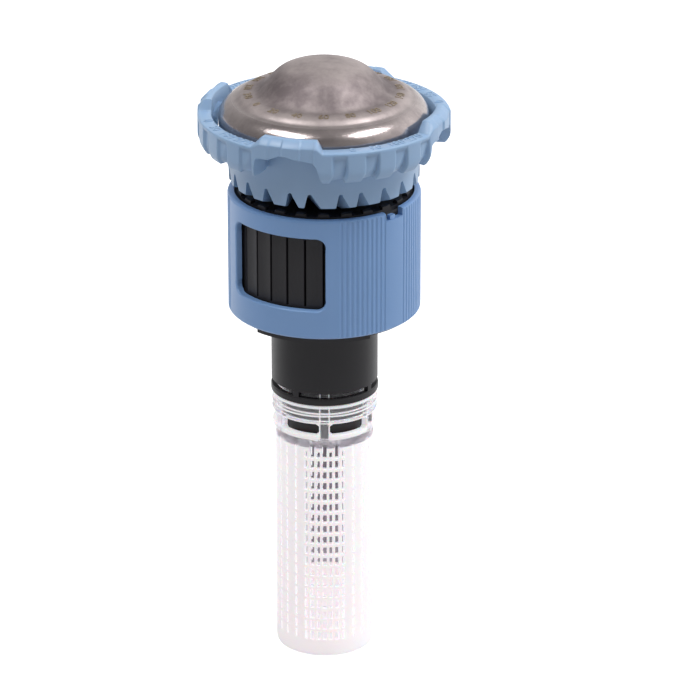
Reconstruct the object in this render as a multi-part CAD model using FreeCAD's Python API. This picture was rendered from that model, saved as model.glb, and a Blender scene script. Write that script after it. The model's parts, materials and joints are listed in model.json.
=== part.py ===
import FreeCAD, Part
import math
import os
from FreeCAD import Vector

os.makedirs("parts", exist_ok=True)

# Rotary multi-stream irrigation nozzle with an adjustable arc and an adjustable radius.
# Millimetres. The axis is +Z, up to the steel cap. z = 0 is the mouth of the riser thread.
# Angles are right-handed about +Z and start at the front, which is -Y.

# ---- driving dimensions: outside ------------------------------------------------------------
COLLAR_R = 12.0            # blue arc collar
COLLAR_INNER_R = 11.2
COLLAR_TOP = 15.5
RING_R = 15.6              # scalloped grip ring round the cap
RING_INNER_R = 13.8
RING_TOP = 25.5
RING_BOTTOM = 22.0
CAP_R = 13.0               # pressed steel cap
CAP_WALL = 0.5
CAP_EDGE_Z = 24.0
CAP_SHOULDER_Z = 25.1
CAP_SHOULDER_R = 2.2
NECK_R = 6.68              # spigot that goes inside the riser
NECK_TOP = -0.5            # above this the neck is undercut, clear of the riser's end
NECK_ROOT_R = 6.3
NECK_BORE_R = 5.9
NECK_BOTTOM = -11.1
SCREEN_R = 6.2
SCREEN_WALL = 0.6
SCREEN_BOTTOM = -46.0

# ---- driving dimensions: riser thread, 5/8 in nominal, 28 threads to the inch ----------------
THREAD_MAJOR_R = 7.94
THREAD_MINOR_R = 7.55
THREAD_PITCH = 25.4 / 28
THREAD_RIDGES = 5
THREAD_START = 0.7
BASE_R = 9.7

# ---- driving dimensions: mechanism ----------------------------------------------------------
SHAFT_R = 1.0
BORE_R = 1.03              # running bore round the shaft
POST_R = 1.9
HUB_R = 3.9                # orifice hub
VALVE_R = 5.6
VALVE_CLEARANCE = 0.05
VALVE_TOP = 11.0           # lowest point of the spiral valve face
VALVE_BOTTOM = 10.2
SPIRAL_PITCH = 2.0         # rise of the spiral faces in one turn
SPIRAL_STEPS = 36
SPIRAL_GAP = 0.1
ARC_AT_REST = 180.0        # watered arc in degrees with the joints at rest
PLATE_BOTTOM = 14.1        # cover plate of the arc setting
PLATE_TOP = 15.4
DIAL_R = 11.0              # black radius ring behind the collar's window
DIAL_INNER_R = 9.95
DIAL_PANELS = 30
DIAL_PANEL_BOTTOM = 3.9
HOLLOW_R = 6.0             # each panel is slightly hollow, for the thumb
HOLLOW_DEPTH = 0.12
RIBS = 24                  # round the grip ring
SKIRT_R = 12.0             # deflector
SKIRT_BOTTOM = 17.05
SKIRT_BOTTOM_R = 11.8
CONE_BOTTOM = 16.1         # flat foot of the deflector's coned underside
CONE_R = 9.2
FLUTE_TOP = 18.95
FLUTE_SKEW = 14.0
FLUTE_FALL = 0.37          # drop of the flute's roof for each millimetre inward
CHAMBER_R = 8.6            # brake chamber in the deflector
CHAMBER_FLOOR = 21.3
CHAMBER_TOP = 23.6
LIP_R = CAP_R - CAP_WALL
LIP_TOP = 24.9
SPRING_R = 2.6
SPRING_WIRE_R = 0.3
SPRING_TURNS = 8
SPIDER_BOTTOM = 2.0
RETAINER_TOP = -8.3
NUT_R = 4.9
NUT_BOTTOM = 7.0
NUT_TOP = 9.3
LUG_COUNT = 6

# ---- driving dimensions: angles in degrees from the front -----------------------------------
RIB_PITCH = 360.0 / RIBS
RAISED_SPAN = 33.0         # each raised section ends at 0, 90, 180 and 270
FLUTE_ANGLES = (-36.3, -20.4, -8.1, 10.2, 22.6, 38.3)    # the same in each quarter
WIDE_FLUTE = 2             # the one of the six that is wider
WINDOW_FROM = -65.0
WINDOW_TO = 1.0
WINDOW_BOTTOM = 3.7
WINDOW_TOP = 13.1
WINDOW_CORNER = 1.2
WINDOW_ROUND = 0.2
NOTCH_FROM = 39.5
NOTCH_TO = 54.0
RIB_AREAS = ((9.0, 40.0), (53.0, 285.0))                 # fine upright ribs on the collar
FINE_RIB_PITCH = 3.1
FINE_RIB_DEPTH = 0.09

AXIS = Vector(0, 0, 1)
CENTRE = Vector(0, 0, 0)
FRONT = -90.0              # the front seen from +X, where solids of revolution start
EPS = 0.01


# ---- helpers ---------------------------------------------------------------------------------
def at(radius, angle, z):
    """Point at a radius and an angle from the front."""
    turn = math.radians(angle + FRONT)
    return Vector(radius * math.cos(turn), radius * math.sin(turn), z)


def revolve(start, *steps):
    """Solid of revolution. A step is (r, z) for a line, or (mid, end) for an arc."""
    here = Vector(start[0], 0, start[1])
    first = here
    edges = []
    for step in steps:
        if isinstance(step[0], tuple):
            points = [Vector(p[0], 0, p[1]) for p in step]
            if len(points) == 2:
                edges.append(Part.Arc(here, points[0], points[1]).toShape())
            else:
                curve = Part.BSplineCurve()
                curve.interpolate([here] + points)
                edges.append(curve.toShape())
            here = points[-1]
        else:
            end = Vector(step[0], 0, step[1])
            edges.append(Part.makeLine(here, end))
            here = end
    edges.append(Part.makeLine(here, first))
    return Part.Face(Part.Wire(edges)).revolve(CENTRE, AXIS, 360)


def tube(outer, inner, bottom, top):
    """Plain ring or tube on the axis."""
    return revolve((inner, bottom), (outer, bottom), (outer, top), (inner, top))


def sector(outer, inner, bottom, top, start, end):
    """Part of a tube between two angles from the front."""
    solid = Part.makeCylinder(outer, top - bottom, Vector(0, 0, bottom), AXIS, end - start)
    if inner > 0:
        solid = solid.cut(Part.makeCylinder(inner, top - bottom + 2, Vector(0, 0, bottom - 1)))
    solid.rotate(CENTRE, AXIS, start + FRONT)
    return solid


def turned(shape, angle):
    """Copy of a shape, turned about the axis."""
    copy = shape.copy()
    copy.rotate(CENTRE, AXIS, angle)
    return copy


def block(inner, outer, width, bottom, top, angle):
    """Radial block between two radii, centred on an angle from the front."""
    box = Part.makeBox(outer - inner, width, top - bottom, Vector(inner, -width / 2, bottom))
    box.rotate(CENTRE, AXIS, angle + FRONT)
    return box


def around(shape, count, phase=0.0):
    """Equally spaced copies about the axis."""
    return [turned(shape, phase + i * 360.0 / count) for i in range(count)]


def prism(outline, bottom, top):
    """Upright prism from a list of plan points."""
    wire = Part.makePolygon([Vector(p.x, p.y, bottom) for p in outline + outline[:1]])
    return Part.Face(wire).extrude(Vector(0, 0, top - bottom))


def solid_of(shape):
    """The single solid in a boolean result, with split faces merged."""
    clean = shape.removeSplitter()
    return clean.Solids[0] if len(clean.Solids) == 1 else clean


# ---- fixed body: what screws on the riser ----------------------------------------------------
def nozzle_base():
    """Threaded skirt, web over the neck's flange, rim that the collar snaps on, stop lug."""
    profile = [(BASE_R, 7.8), (BASE_R, 4.3), (9.3, 4.3), (9.3, 3.7), (BASE_R, 3.7), (BASE_R, 1.1)]
    profile += [(11.3, 1.1), (11.3, 0.6), (11.1, 0.6), (11.1, 0.3), (11.3, 0.3), (11.3, -0.3)]
    profile += [(9.9, -0.3), (9.4, 0.0), (THREAD_MAJOR_R + 0.2, 0.0), (THREAD_MAJOR_R, 0.2)]
    for i in range(THREAD_RIDGES):
        z = THREAD_START + i * THREAD_PITCH
        profile += [(THREAD_MAJOR_R, z - 0.35), (THREAD_MINOR_R, z - 0.08)]
        profile += [(THREAD_MINOR_R, z + 0.08), (THREAD_MAJOR_R, z + 0.35)]
    profile += [(THREAD_MAJOR_R, 6.6), (NECK_BORE_R, 6.6)]
    lug = sector(11.3, 10.0, -0.7, -0.2, -47, 30)
    return solid_of(revolve((NECK_BORE_R, 7.8), *profile).fuse(lug))


def inlet_neck():
    """Spigot with four clip slots near its end, and the tube that reaches into the screen."""
    body = revolve(
        (6.1, NECK_BOTTOM), (6.64, NECK_BOTTOM), (6.74, -11.0), (6.74, -10.4), (NECK_R, -10.3),
        (NECK_R, NECK_TOP), (NECK_ROOT_R, NECK_TOP), (NECK_ROOT_R, 5.8), (7.9, 5.8), (7.9, 6.6),
        (NECK_BORE_R, 6.6),
        (NECK_BORE_R, SPIDER_BOTTOM), (4.7, SPIDER_BOTTOM), (4.7, -16.0), (5.3, -16.0),
        (5.3, RETAINER_TOP), (6.1, RETAINER_TOP))
    slot = sector(7.2, 5.8, -10.2, -9.5, -28.8, 54.2)
    return solid_of(body.cut(Part.makeCompound(around(slot, 4))))


def riser_gasket():
    """Flat washer that the top of the riser presses on."""
    return tube(7.9, NECK_ROOT_R, 5.0, 5.8)


def spider_post():
    """Three spokes across the neck that carry the hollow centre post."""
    post = tube(POST_R, BORE_R, SPIDER_BOTTOM, 13.0)
    hub = tube(3.3, BORE_R, SPIDER_BOTTOM, 3.6)
    rim = tube(NECK_BORE_R, 5.3, SPIDER_BOTTOM, 4.9)
    spokes = around(block(3.0, 5.6, 1.2, SPIDER_BOTTOM, 3.6, 0), 3)
    return solid_of(post.multiFuse([hub, rim] + spokes))


def throttle_seat():
    """Drilled plate that the throttle nut closes on."""
    plate = tube(NECK_BORE_R, POST_R, 4.9, 5.5)
    hole = Part.makeCylinder(0.75, 2, at(3.4, 0, 4.2))
    return solid_of(plate.cut(Part.makeCompound(around(hole, LUG_COUNT))))


def orifice_hub():
    """Centre of the jet opening, with the key that stops the valve sleeve turning."""
    body = revolve((POST_R, 9.6), (HUB_R, 9.6), (HUB_R, 15.8), (HUB_R - 0.2, 16.0), (BORE_R, 16.0),
                   (BORE_R, 13.0), (POST_R, 13.0))
    key = block(HUB_R - 0.3, 4.25, 0.8, 9.7, 13.9, -8)
    return solid_of(body.fuse(key))


def base_seal():
    """O-ring between the base and the radius ring."""
    return Part.makeTorus(9.62, 0.3, Vector(0, 0, 4.0))


# ---- arc setting -----------------------------------------------------------------------------
def valve_height(angle):
    """Height of the valve's spiral face above the start, at an angle past the fixed edge."""
    return VALVE_TOP + SPIRAL_PITCH * (angle % 360) / 360


def spiral_steps(radius_out, radius_in, face, other, phase):
    """Ring of equal steps between a flat level and a spiral face."""
    width = 360.0 / SPIRAL_STEPS
    steps = []
    for i in range(SPIRAL_STEPS):
        low, high = sorted((face(i * width), other))
        start = phase + i * width
        steps.append(sector(radius_out, radius_in, low, high, start, start + width + EPS))
    return steps


def arc_valve():
    """Sleeve whose spiral top closes the part of the circle that isn't watered."""
    bore = HUB_R + VALVE_CLEARANCE
    body = tube(VALVE_R, bore, VALVE_BOTTOM, VALVE_TOP)
    solid = body.multiFuse(spiral_steps(VALVE_R, bore, valve_height, VALVE_BOTTOM + 0.2, 0))
    keyway = block(HUB_R - 0.2, 4.35, 0.9, VALVE_BOTTOM - 1, VALVE_TOP + SPIRAL_PITCH + 1, -8)
    return solid_of(solid.cut(keyway))


def cover_height(angle):
    """Underside of the cover's spiral lip: it meets the valve except over the watered arc."""
    return valve_height(0) + SPIRAL_GAP + SPIRAL_PITCH * ((angle % 360) + ARC_AT_REST) / 360


def arc_cover():
    """Black plate with the jet opening, the spiral lip and the castellated shield."""
    plate = revolve(
        (VALVE_R, PLATE_BOTTOM), (9.0, PLATE_BOTTOM), (9.0, 11.5), (9.6, 11.5), (9.6, 12.2),
        (9.3, 12.2), (9.3, 12.8), (9.6, 12.8), (9.6, PLATE_BOTTOM), (COLLAR_INNER_R, PLATE_BOTTOM),
        (COLLAR_INNER_R, 14.9), (10.9, 15.1), (10.8, 15.9), (10.6, 16.0), (10.2, 16.0),
        (10.0, PLATE_TOP), (VALVE_R, PLATE_TOP))
    lip = spiral_steps(VALVE_R + EPS, 4.6, cover_height, PLATE_TOP, ARC_AT_REST)
    solid = plate.multiFuse(lip)
    notch = block(9.5, 12, 1.5, 15.6, 17.5, RIB_PITCH / 2)
    return solid_of(solid.cut(Part.makeCompound(around(notch, RIBS))))


def cover_seal():
    """O-ring between the arc cover and the radius ring."""
    return Part.makeTorus(9.62, 0.3, Vector(0, 0, 12.5))


def rib_points(start, end):
    """Plan points of a ribbed stretch of the collar: shallow grooves between flat ribs."""
    count = round((end - start) / FINE_RIB_PITCH)
    pitch = (end - start) / count
    points = []
    for i in range(count):
        for depth, part in ((0, 0.1), (FINE_RIB_DEPTH, 0.32), (FINE_RIB_DEPTH, 0.58), (0, 0.8)):
            points.append(at(COLLAR_R - depth, start + (i + part) * pitch, 0))
    return points


def collar_plan():
    """Closed plan wire of the collar: ribbed stretches, with plain arcs between them."""
    edges = []
    first_run, second_run = [rib_points(*area) for area in RIB_AREAS]
    for run, arc_from, arc_to in ((first_run, RIB_AREAS[0][1], RIB_AREAS[1][0]),
                                  (second_run, RIB_AREAS[1][1], 360 + RIB_AREAS[0][0])):
        for here, there in zip(run, run[1:]):
            edges.append(Part.makeLine(here, there))
        after = second_run[0] if run is first_run else first_run[0]
        middle = at(COLLAR_R, (arc_from + arc_to) / 2, 0)
        edges.append(Part.Arc(run[-1], middle, after).toShape())
    return Part.Wire(edges)


def collar_window():
    """Tool for the window, with rounded corners: two sectors that cross, and four corner pins."""
    corner = WINDOW_CORNER
    turn = math.degrees(corner / COLLAR_R)
    middle = sector(13, 10, WINDOW_BOTTOM, WINDOW_TOP, WINDOW_FROM + turn, WINDOW_TO - turn)
    sides = sector(13, 10, WINDOW_BOTTOM + corner, WINDOW_TOP - corner, WINDOW_FROM, WINDOW_TO)
    pins = []
    for angle in (WINDOW_FROM + turn, WINDOW_TO - turn):
        for z in (WINDOW_BOTTOM + corner, WINDOW_TOP - corner):
            direction = at(1, angle, 0)
            pins.append(Part.makeCylinder(corner, 3, direction * 10 + Vector(0, 0, z), direction))
    return middle.multiFuse([sides] + pins)


def arc_collar():
    """Blue collar: thumb ribs, window over the radius ring, setting notch, snap bead."""
    top_round = 0.35
    body = Part.Face(collar_plan()).extrude(Vector(0, 0, COLLAR_TOP))
    bore = revolve((0, -1), (11.4, -1), (11.4, 0.35), (11.15, 0.38), (11.15, 0.52), (11.4, 0.55),
                   (11.4, 1.2), (COLLAR_INNER_R, 1.2), (COLLAR_INNER_R, 16), (0, 16))
    rim = revolve((COLLAR_R - top_round, COLLAR_TOP), (COLLAR_R - 0.1, COLLAR_TOP - 0.1),
                  (COLLAR_R, COLLAR_TOP - top_round), (13, COLLAR_TOP - top_round), (13, 16),
                  (COLLAR_R - top_round, 16))
    foot = revolve((COLLAR_R - 0.25, 0), (COLLAR_R - 0.25, -1), (13, -1), (13, 0.25), (COLLAR_R, 0.25))
    notch = sector(13, 10, COLLAR_TOP - 1.0, COLLAR_TOP + 1, NOTCH_FROM, NOTCH_TO)
    for tool in (bore, rim, foot, notch, collar_window()):
        body = body.cut(tool)
    outline = [at(11.3, 43.0, 0), at(11.9, 43.0, 0), at(11.9, 47.0, 0), at(11.3, 47.0, 0)]
    body = solid_of(body.fuse(prism(outline, COLLAR_TOP - 1.1, COLLAR_TOP - 0.45)))
    return body.makeFillet(WINDOW_ROUND, window_edges(body))


def window_edges(body):
    """Edges of the window on the collar's outside."""
    found = []
    for edge in body.Edges:
        points = edge.discretize(5)
        outside = all(abs(math.hypot(p.x, p.y) - COLLAR_R) < 0.01 for p in points)
        level = all(WINDOW_BOTTOM - 0.01 < p.z < WINDOW_TOP + 0.01 for p in points)
        if outside and level:
            found.append(edge)
    return found


# ---- radius setting --------------------------------------------------------------------------
def radius_ring():
    """Black thumb ring with upright panels, and the splined web that turns the throttle nut."""
    body = revolve(
        (5.0, 6.8), (5.75, 6.8), (5.75, 8.1), (DIAL_INNER_R, 8.1), (DIAL_INNER_R, 1.3), (DIAL_R, 1.3),
        (DIAL_R, 13.9), (DIAL_INNER_R, 13.9), (DIAL_INNER_R, 9.1), (5.0, 9.1))
    panel = 360.0 / DIAL_PANELS
    outer = DIAL_R + 0.1
    groove = prism([at(DIAL_R - 0.5, 0, 0), at(outer, -0.09 * panel, 0), at(outer, 0.07 * panel, 0)],
                   DIAL_PANEL_BOTTOM, 14.5)
    hollow = Part.makeCylinder(HOLLOW_R, 14.5 - DIAL_PANEL_BOTTOM,
                               at(DIAL_R - HOLLOW_DEPTH + HOLLOW_R, panel / 2, DIAL_PANEL_BOTTOM))
    splines = around(block(4.5, 5.3, 1.3, 6, 10, 0), LUG_COUNT)
    body = body.cut(Part.makeCompound(around(hollow, DIAL_PANELS)))
    body = body.cut(Part.makeCompound(around(groove, DIAL_PANELS)))
    return solid_of(body.cut(Part.makeCompound(splines)))


def throttle_nut():
    """Nut that screws down the post to throttle the flow and shorten the streams."""
    body = tube(NUT_R, POST_R + 0.05, NUT_BOTTOM, NUT_TOP)
    lugs = around(block(NUT_R - 0.4, 5.2, 1.2, NUT_BOTTOM, NUT_TOP, 0), LUG_COUNT)
    body = body.multiFuse(lugs)
    notch = block(4.3, 6, 1.8, NUT_BOTTOM - 1, NUT_TOP + 1, 180.0 / LUG_COUNT)
    return solid_of(body.cut(Part.makeCompound(around(notch, LUG_COUNT))))


# ---- pop-up carriage -------------------------------------------------------------------------
def pop_up_shaft():
    """Steel shaft through the whole nozzle, with a groove for the top clip."""
    return revolve((0, -9.5), (0.8, -9.5), (SHAFT_R, -9.3), (SHAFT_R, 24.7), (0.8, 24.7), (0.8, 25.1),
                   (SHAFT_R, 25.1), (SHAFT_R, 25.4), (0.8, 25.6), (0, 25.6))


def spring_retainer():
    """Flanged bush at the foot of the shaft."""
    return revolve((SHAFT_R, -9.3), (3.6, -9.3), (3.6, RETAINER_TOP), (2.1, RETAINER_TOP),
                   (2.1, -7.3), (SHAFT_R, -7.3))


def return_spring():
    """Coil spring that pulls the head back down."""
    bottom = RETAINER_TOP + SPRING_WIRE_R
    height = SPIDER_BOTTOM - SPRING_WIRE_R - bottom
    path = Part.makeHelix(height / SPRING_TURNS, height, SPRING_R)
    path.translate(Vector(0, 0, bottom))
    wire = Part.Wire(path.Edges)
    start = Vector(SPRING_R, 0, bottom)
    section = Part.Wire(Part.makeCircle(SPRING_WIRE_R, start, Vector(0, 1, 0)))
    return wire.makePipeShell([section], True, True)


def brake_disc():
    """Still disc on the shaft, turning resistance for the rotor in its grease."""
    disc = revolve((SHAFT_R, 22.0), (8.0, 22.0), (8.0, 23.0), (2.6, 23.0), (2.6, 23.4), (SHAFT_R, 23.4))
    hole = Part.makeCylinder(0.9, 3, at(5.4, 0, 21))
    return solid_of(disc.cut(Part.makeCompound(around(hole, 6))))


def shaft_clip():
    """Open steel clip in the groove at the top of the shaft."""
    ring = tube(2.2, 0.8, 24.7, 25.1)
    return solid_of(ring.cut(block(0.4, 3, 1.0, 24, 26, 0)))


# ---- rotor -----------------------------------------------------------------------------------
def flute_tool(scale=1.0):
    """Slanting channel with a round roof: steep on one side, sloping on the other, skewed in plan."""
    skew = math.radians(FLUTE_SKEW)
    across = Vector(math.cos(skew), math.sin(skew), 0) * scale
    inward = Vector(-math.sin(skew), math.cos(skew), -FLUTE_FALL)
    start = at(SKIRT_R, 0, FLUTE_TOP) - inward * 1.5

    def place(side, drop):
        return start + across * side - Vector(0, 0, drop)
    low_left, left, roof, right, low_right = [
        place(*corner) for corner in ((-0.7, 2.6), (-0.24, 0.26), (0, 0), (0.3, 0.3), (1.55, 2.6))]
    outline = Part.Wire([Part.makeLine(low_left, left), Part.Arc(left, roof, right).toShape(),
                         Part.makeLine(right, low_right), Part.makeLine(low_right, low_left)])
    return Part.Face(outline).extrude(inward * 9.5)


def deflector():
    """Blue rotor: streams leave by its flutes, its upper half is the brake chamber."""
    body = revolve(
        (1.9, 16.3), (3.0, 16.3), (4.2, CONE_BOTTOM), (CONE_R, CONE_BOTTOM),
        (SKIRT_BOTTOM_R - 0.1, SKIRT_BOTTOM), (SKIRT_BOTTOM_R, SKIRT_BOTTOM + 0.1), (SKIRT_R, 23.4),
        (SKIRT_R, CAP_EDGE_Z), (LIP_R, CAP_EDGE_Z), (LIP_R, LIP_TOP - 0.2), (LIP_R - 0.2, LIP_TOP),
        (9.5, LIP_TOP), (9.5, CHAMBER_TOP), (CHAMBER_R, CHAMBER_TOP), (CHAMBER_R, CHAMBER_FLOOR),
        (BORE_R, CHAMBER_FLOOR), (BORE_R, 17.0), (1.9, 17.0))
    for i, angle in enumerate(FLUTE_ANGLES):
        tool = flute_tool(1.2 if i == WIDE_FLUTE else 1.0)
        body = body.cut(Part.makeCompound(around(tool, 4, angle)))
    return solid_of(body)


def grip_ring():
    """Scalloped ring: four low sections joined to the rotor, four raised arches."""
    low = revolve(
        (SKIRT_R, RING_BOTTOM + 0.2), (RING_R - 0.6, RING_BOTTOM), (RING_R - 0.3, RING_BOTTOM + 0.1),
        (RING_R, 22.6), (RING_R, RING_TOP - 0.1), (RING_R - 0.1, RING_TOP), (RING_INNER_R, RING_TOP),
        (RING_INNER_R, 23.5), (SKIRT_R, 23.5))
    raised = revolve((RING_INNER_R, RING_TOP), (RING_R, RING_TOP), (RING_R, 26.0), (14.8, 26.8),
                     (13.95, 26.8), (RING_INNER_R, 26.6))
    scoop = prism([at(15.25, 1, 0), at(15.25, 6.5, 0), at(16.2, 7.2, 0), at(16.2, 0.3, 0)], 21, 24.6)
    body = low.cut(Part.makeCompound(around(scoop, RIBS, RIB_PITCH / 4)))
    for quarter in range(4):
        end = quarter * 90.0
        start = end - RAISED_SPAN
        body = body.cut(sector(17, SKIRT_R + EPS, 21, 24.2, start + 2, end - 3))
        body = body.cut(sector(17, SKIRT_R + EPS, 24.0, 24.8, start + 5, end - 8))
        wedge = sector(17, 13, RING_TOP - 0.5, 27, start, end)
        body = body.fuse(raised.common(wedge))
    return solid_of(body)


def steel_cap():
    """Pressed cap: domed boss, flare, crowned band, rounded shoulder, short wall."""
    boss_r = 13.1
    boss_z = 32.05 - boss_r
    rim = 5.4
    t = CAP_WALL
    shoulder = CAP_R - CAP_SHOULDER_R
    top = CAP_SHOULDER_Z + CAP_SHOULDER_R

    def dome(radius, r):
        return (r, boss_z + math.sqrt(radius * radius - r * r))

    def corner(radius):
        half = radius * math.sqrt(0.5)
        return (shoulder + half, CAP_SHOULDER_Z + half)

    outside = [((6.0, 30.33), (6.45, 29.45), (6.95, 28.55), (7.55, 27.95)),
               ((9.2, 27.72), (shoulder, top)), (corner(CAP_SHOULDER_R), (CAP_R, CAP_SHOULDER_Z)),
               (CAP_R, CAP_EDGE_Z), (LIP_R, CAP_EDGE_Z), (LIP_R, CAP_SHOULDER_Z)]
    inside = [(corner(CAP_SHOULDER_R - t), (shoulder, top - t)), ((9.1, 27.2), (7.35, 27.42)),
              ((6.65, 28.1), (6.0, 29.2), (5.6, 29.95), dome(boss_r - t, rim - 0.2))]
    return revolve((0, boss_z + boss_r), (dome(boss_r, rim / 2), dome(boss_r, rim)), *outside,
                   *inside, (dome(boss_r - t, rim / 2), (0, boss_z + boss_r - t)))


def friction_disc():
    """Thin disc keyed to the rotor, facing the brake disc."""
    return tube(8.3, 1.6, CHAMBER_FLOOR, 21.8)


def chamber_cover():
    """Lid of the brake chamber and upper bearing on the shaft."""
    lid = revolve((BORE_R, CHAMBER_TOP), (9.5, CHAMBER_TOP), (9.5, 24.3), (3.2, 24.3), (3.0, 24.6),
                  (BORE_R, 24.6))
    return lid


def shaft_seal():
    """Lip seal that keeps the grease in, under the deflector's hub."""
    return revolve((BORE_R, 16.3), (1.9, 16.3), (1.9, 17.0), (1.4, 17.0), (BORE_R, 16.7))


def cap_gasket():
    """Soft ring between the rotor's lip and the cap."""
    return tube(10.7, 9.8, LIP_TOP, 26.7)


# ---- filter ----------------------------------------------------------------------------------
def filter_screen():
    """Clear basket that plugs into the neck: windowed band, then an open grid, closed at its foot."""
    wall_r = SCREEN_R - SCREEN_WALL
    body = revolve(
        (5.45, -8.6), (5.95, -8.6), (6.0, -9.0), (6.0, NECK_BOTTOM), (6.65, NECK_BOTTOM), (6.65, -13.4),
        (SCREEN_R, -14.4), (SCREEN_R, SCREEN_BOTTOM + 0.6), (SCREEN_R - 0.6, SCREEN_BOTTOM),
        (0, SCREEN_BOTTOM), (0, SCREEN_BOTTOM + SCREEN_WALL), (wall_r, SCREEN_BOTTOM + SCREEN_WALL),
        (wall_r, -11.6), (5.45, -11.6))
    cuts = around(sector(7, 5, -15.2, -13.9, 6, 54), 6)
    for row in range(9):
        low = -20.0 - row * 2.9
        for column in range(8):
            slot = Part.makeBox(2 * 8, 1.5, 2.0, Vector(-8, -0.75, low))
            cuts.append(turned(slot, column * 22.5 + 11.25))
    return solid_of(body.cut(Part.makeCompound(cuts)))


NODES = (
    nozzle_base, inlet_neck, riser_gasket, spider_post, throttle_seat, orifice_hub, base_seal,
    arc_collar, arc_cover, cover_seal, arc_valve, radius_ring, throttle_nut, pop_up_shaft,
    spring_retainer, return_spring, brake_disc, shaft_clip, deflector, grip_ring, steel_cap,
    friction_disc, chamber_cover, shaft_seal, cap_gasket, filter_screen,
)

for make in NODES:
    shape = make()
    box = shape.BoundBox
    print(f"{make.__name__:16s} solids {len(shape.Solids)} valid {shape.isValid()} "
          f"volume {shape.Volume:9.2f}  z {box.ZMin:7.2f} {box.ZMax:7.2f}  r {box.XMax:6.2f}")
    shape.exportStep(f"parts/{make.__name__}.step")
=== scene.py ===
import json
import math

import bmesh
import bpy
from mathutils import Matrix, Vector


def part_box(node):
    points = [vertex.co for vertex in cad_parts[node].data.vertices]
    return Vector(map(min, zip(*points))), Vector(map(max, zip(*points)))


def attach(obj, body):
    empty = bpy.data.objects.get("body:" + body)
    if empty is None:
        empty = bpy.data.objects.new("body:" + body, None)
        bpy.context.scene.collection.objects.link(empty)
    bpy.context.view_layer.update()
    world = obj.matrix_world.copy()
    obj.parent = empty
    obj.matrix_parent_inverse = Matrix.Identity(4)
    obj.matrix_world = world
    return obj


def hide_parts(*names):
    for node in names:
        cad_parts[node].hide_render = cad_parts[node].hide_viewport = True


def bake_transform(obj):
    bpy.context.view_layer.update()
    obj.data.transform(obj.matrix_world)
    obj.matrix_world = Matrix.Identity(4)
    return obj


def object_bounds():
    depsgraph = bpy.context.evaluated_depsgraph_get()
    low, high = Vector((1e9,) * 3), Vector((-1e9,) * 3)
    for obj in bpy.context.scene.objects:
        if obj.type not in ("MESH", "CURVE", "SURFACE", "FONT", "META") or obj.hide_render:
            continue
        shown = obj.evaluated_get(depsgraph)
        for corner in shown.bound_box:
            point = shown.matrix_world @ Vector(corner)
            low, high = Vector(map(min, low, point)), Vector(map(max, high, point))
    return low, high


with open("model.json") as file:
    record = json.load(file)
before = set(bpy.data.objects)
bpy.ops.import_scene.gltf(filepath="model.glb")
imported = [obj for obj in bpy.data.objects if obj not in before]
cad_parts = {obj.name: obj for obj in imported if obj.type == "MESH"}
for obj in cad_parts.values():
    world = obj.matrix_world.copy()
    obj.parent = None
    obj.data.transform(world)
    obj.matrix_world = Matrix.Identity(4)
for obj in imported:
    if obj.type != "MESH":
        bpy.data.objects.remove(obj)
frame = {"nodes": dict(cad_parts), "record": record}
cad_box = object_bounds()
nodes = frame["nodes"]

# Angles are in degrees from the front, -Y, and turn right-handed about +Z. The object's lengths are in
# millimetres, and at() turns them into metres. The camera, floor and lights are in metres.
MM = 0.001


# ---- numbers ---------------------------------------------------------------------------------
def smooth(low, high, value):
    """0 below low, 1 above high, and an easy curve between."""
    t = min(1.0, max(0.0, (value - low) / (high - low)))
    return t * t * (3 - 2 * t)


def mix(a, b, t):
    return a + (b - a) * t


def at(radius, angle, z):
    """Point in metres from a radius and height in millimetres."""
    turn = math.radians(angle)
    return Vector((radius * math.sin(turn), -radius * math.cos(turn), z)) * MM


# ---- meshes ----------------------------------------------------------------------------------
def new_piece(name, points, faces, sharp=35, finish=()):
    """Mesh object from points and faces, smooth except over edges sharper than an angle."""
    mesh = bpy.data.meshes.new(name)
    mesh.from_pydata([tuple(p) for p in points], [], faces)
    for polygon, index in zip(mesh.polygons, finish):
        polygon.material_index = index
    close(mesh)
    soften(mesh, sharp)
    piece = bpy.data.objects.new(name, mesh)
    bpy.context.scene.collection.objects.link(piece)
    return piece


def close(mesh):
    """Join points that lie together, drop faces of no area and turn the faces outwards."""
    work = bmesh.new()
    work.from_mesh(mesh)
    bmesh.ops.remove_doubles(work, verts=work.verts, dist=1e-7)
    bmesh.ops.dissolve_degenerate(work, edges=work.edges, dist=1e-7)
    bmesh.ops.recalc_face_normals(work, faces=work.faces)
    work.to_mesh(mesh)
    work.free()


def soften(mesh, sharp):
    """Smooth shading, but for edges sharper than an angle."""
    mesh.shade_smooth()
    mesh.set_sharp_from_angle(angle=math.radians(sharp))


def loft(name, sections, sharp=35):
    """Closed skin through closed sections that go once round the axis."""
    count = len(sections)
    size = len(sections[0])
    points = [p for section in sections for p in section]
    faces = []
    for i in range(count):
        a, b = i * size, (i + 1) % count * size
        for k in range(size):
            n = (k + 1) % size
            faces.append((a + k, b + k, b + n, a + n))
    return new_piece(name, points, faces, sharp)


# ---- materials -------------------------------------------------------------------------------
class Tree:
    """Short way to add and join nodes in one tree."""

    def __init__(self, tree):
        self.tree = tree
        self.count = 0

    def add(self, kind, values=None, **settings):
        node = self.tree.nodes.new(kind)
        node.location = (200 * self.count, 0)
        self.count += 1
        for key, value in settings.items():
            setattr(node, key, value)
        for key, value in (values or {}).items():
            if isinstance(value, bpy.types.NodeSocket):
                self.tree.links.new(value, node.inputs[key])
            else:
                node.inputs[key].default_value = value
        return node


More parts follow.
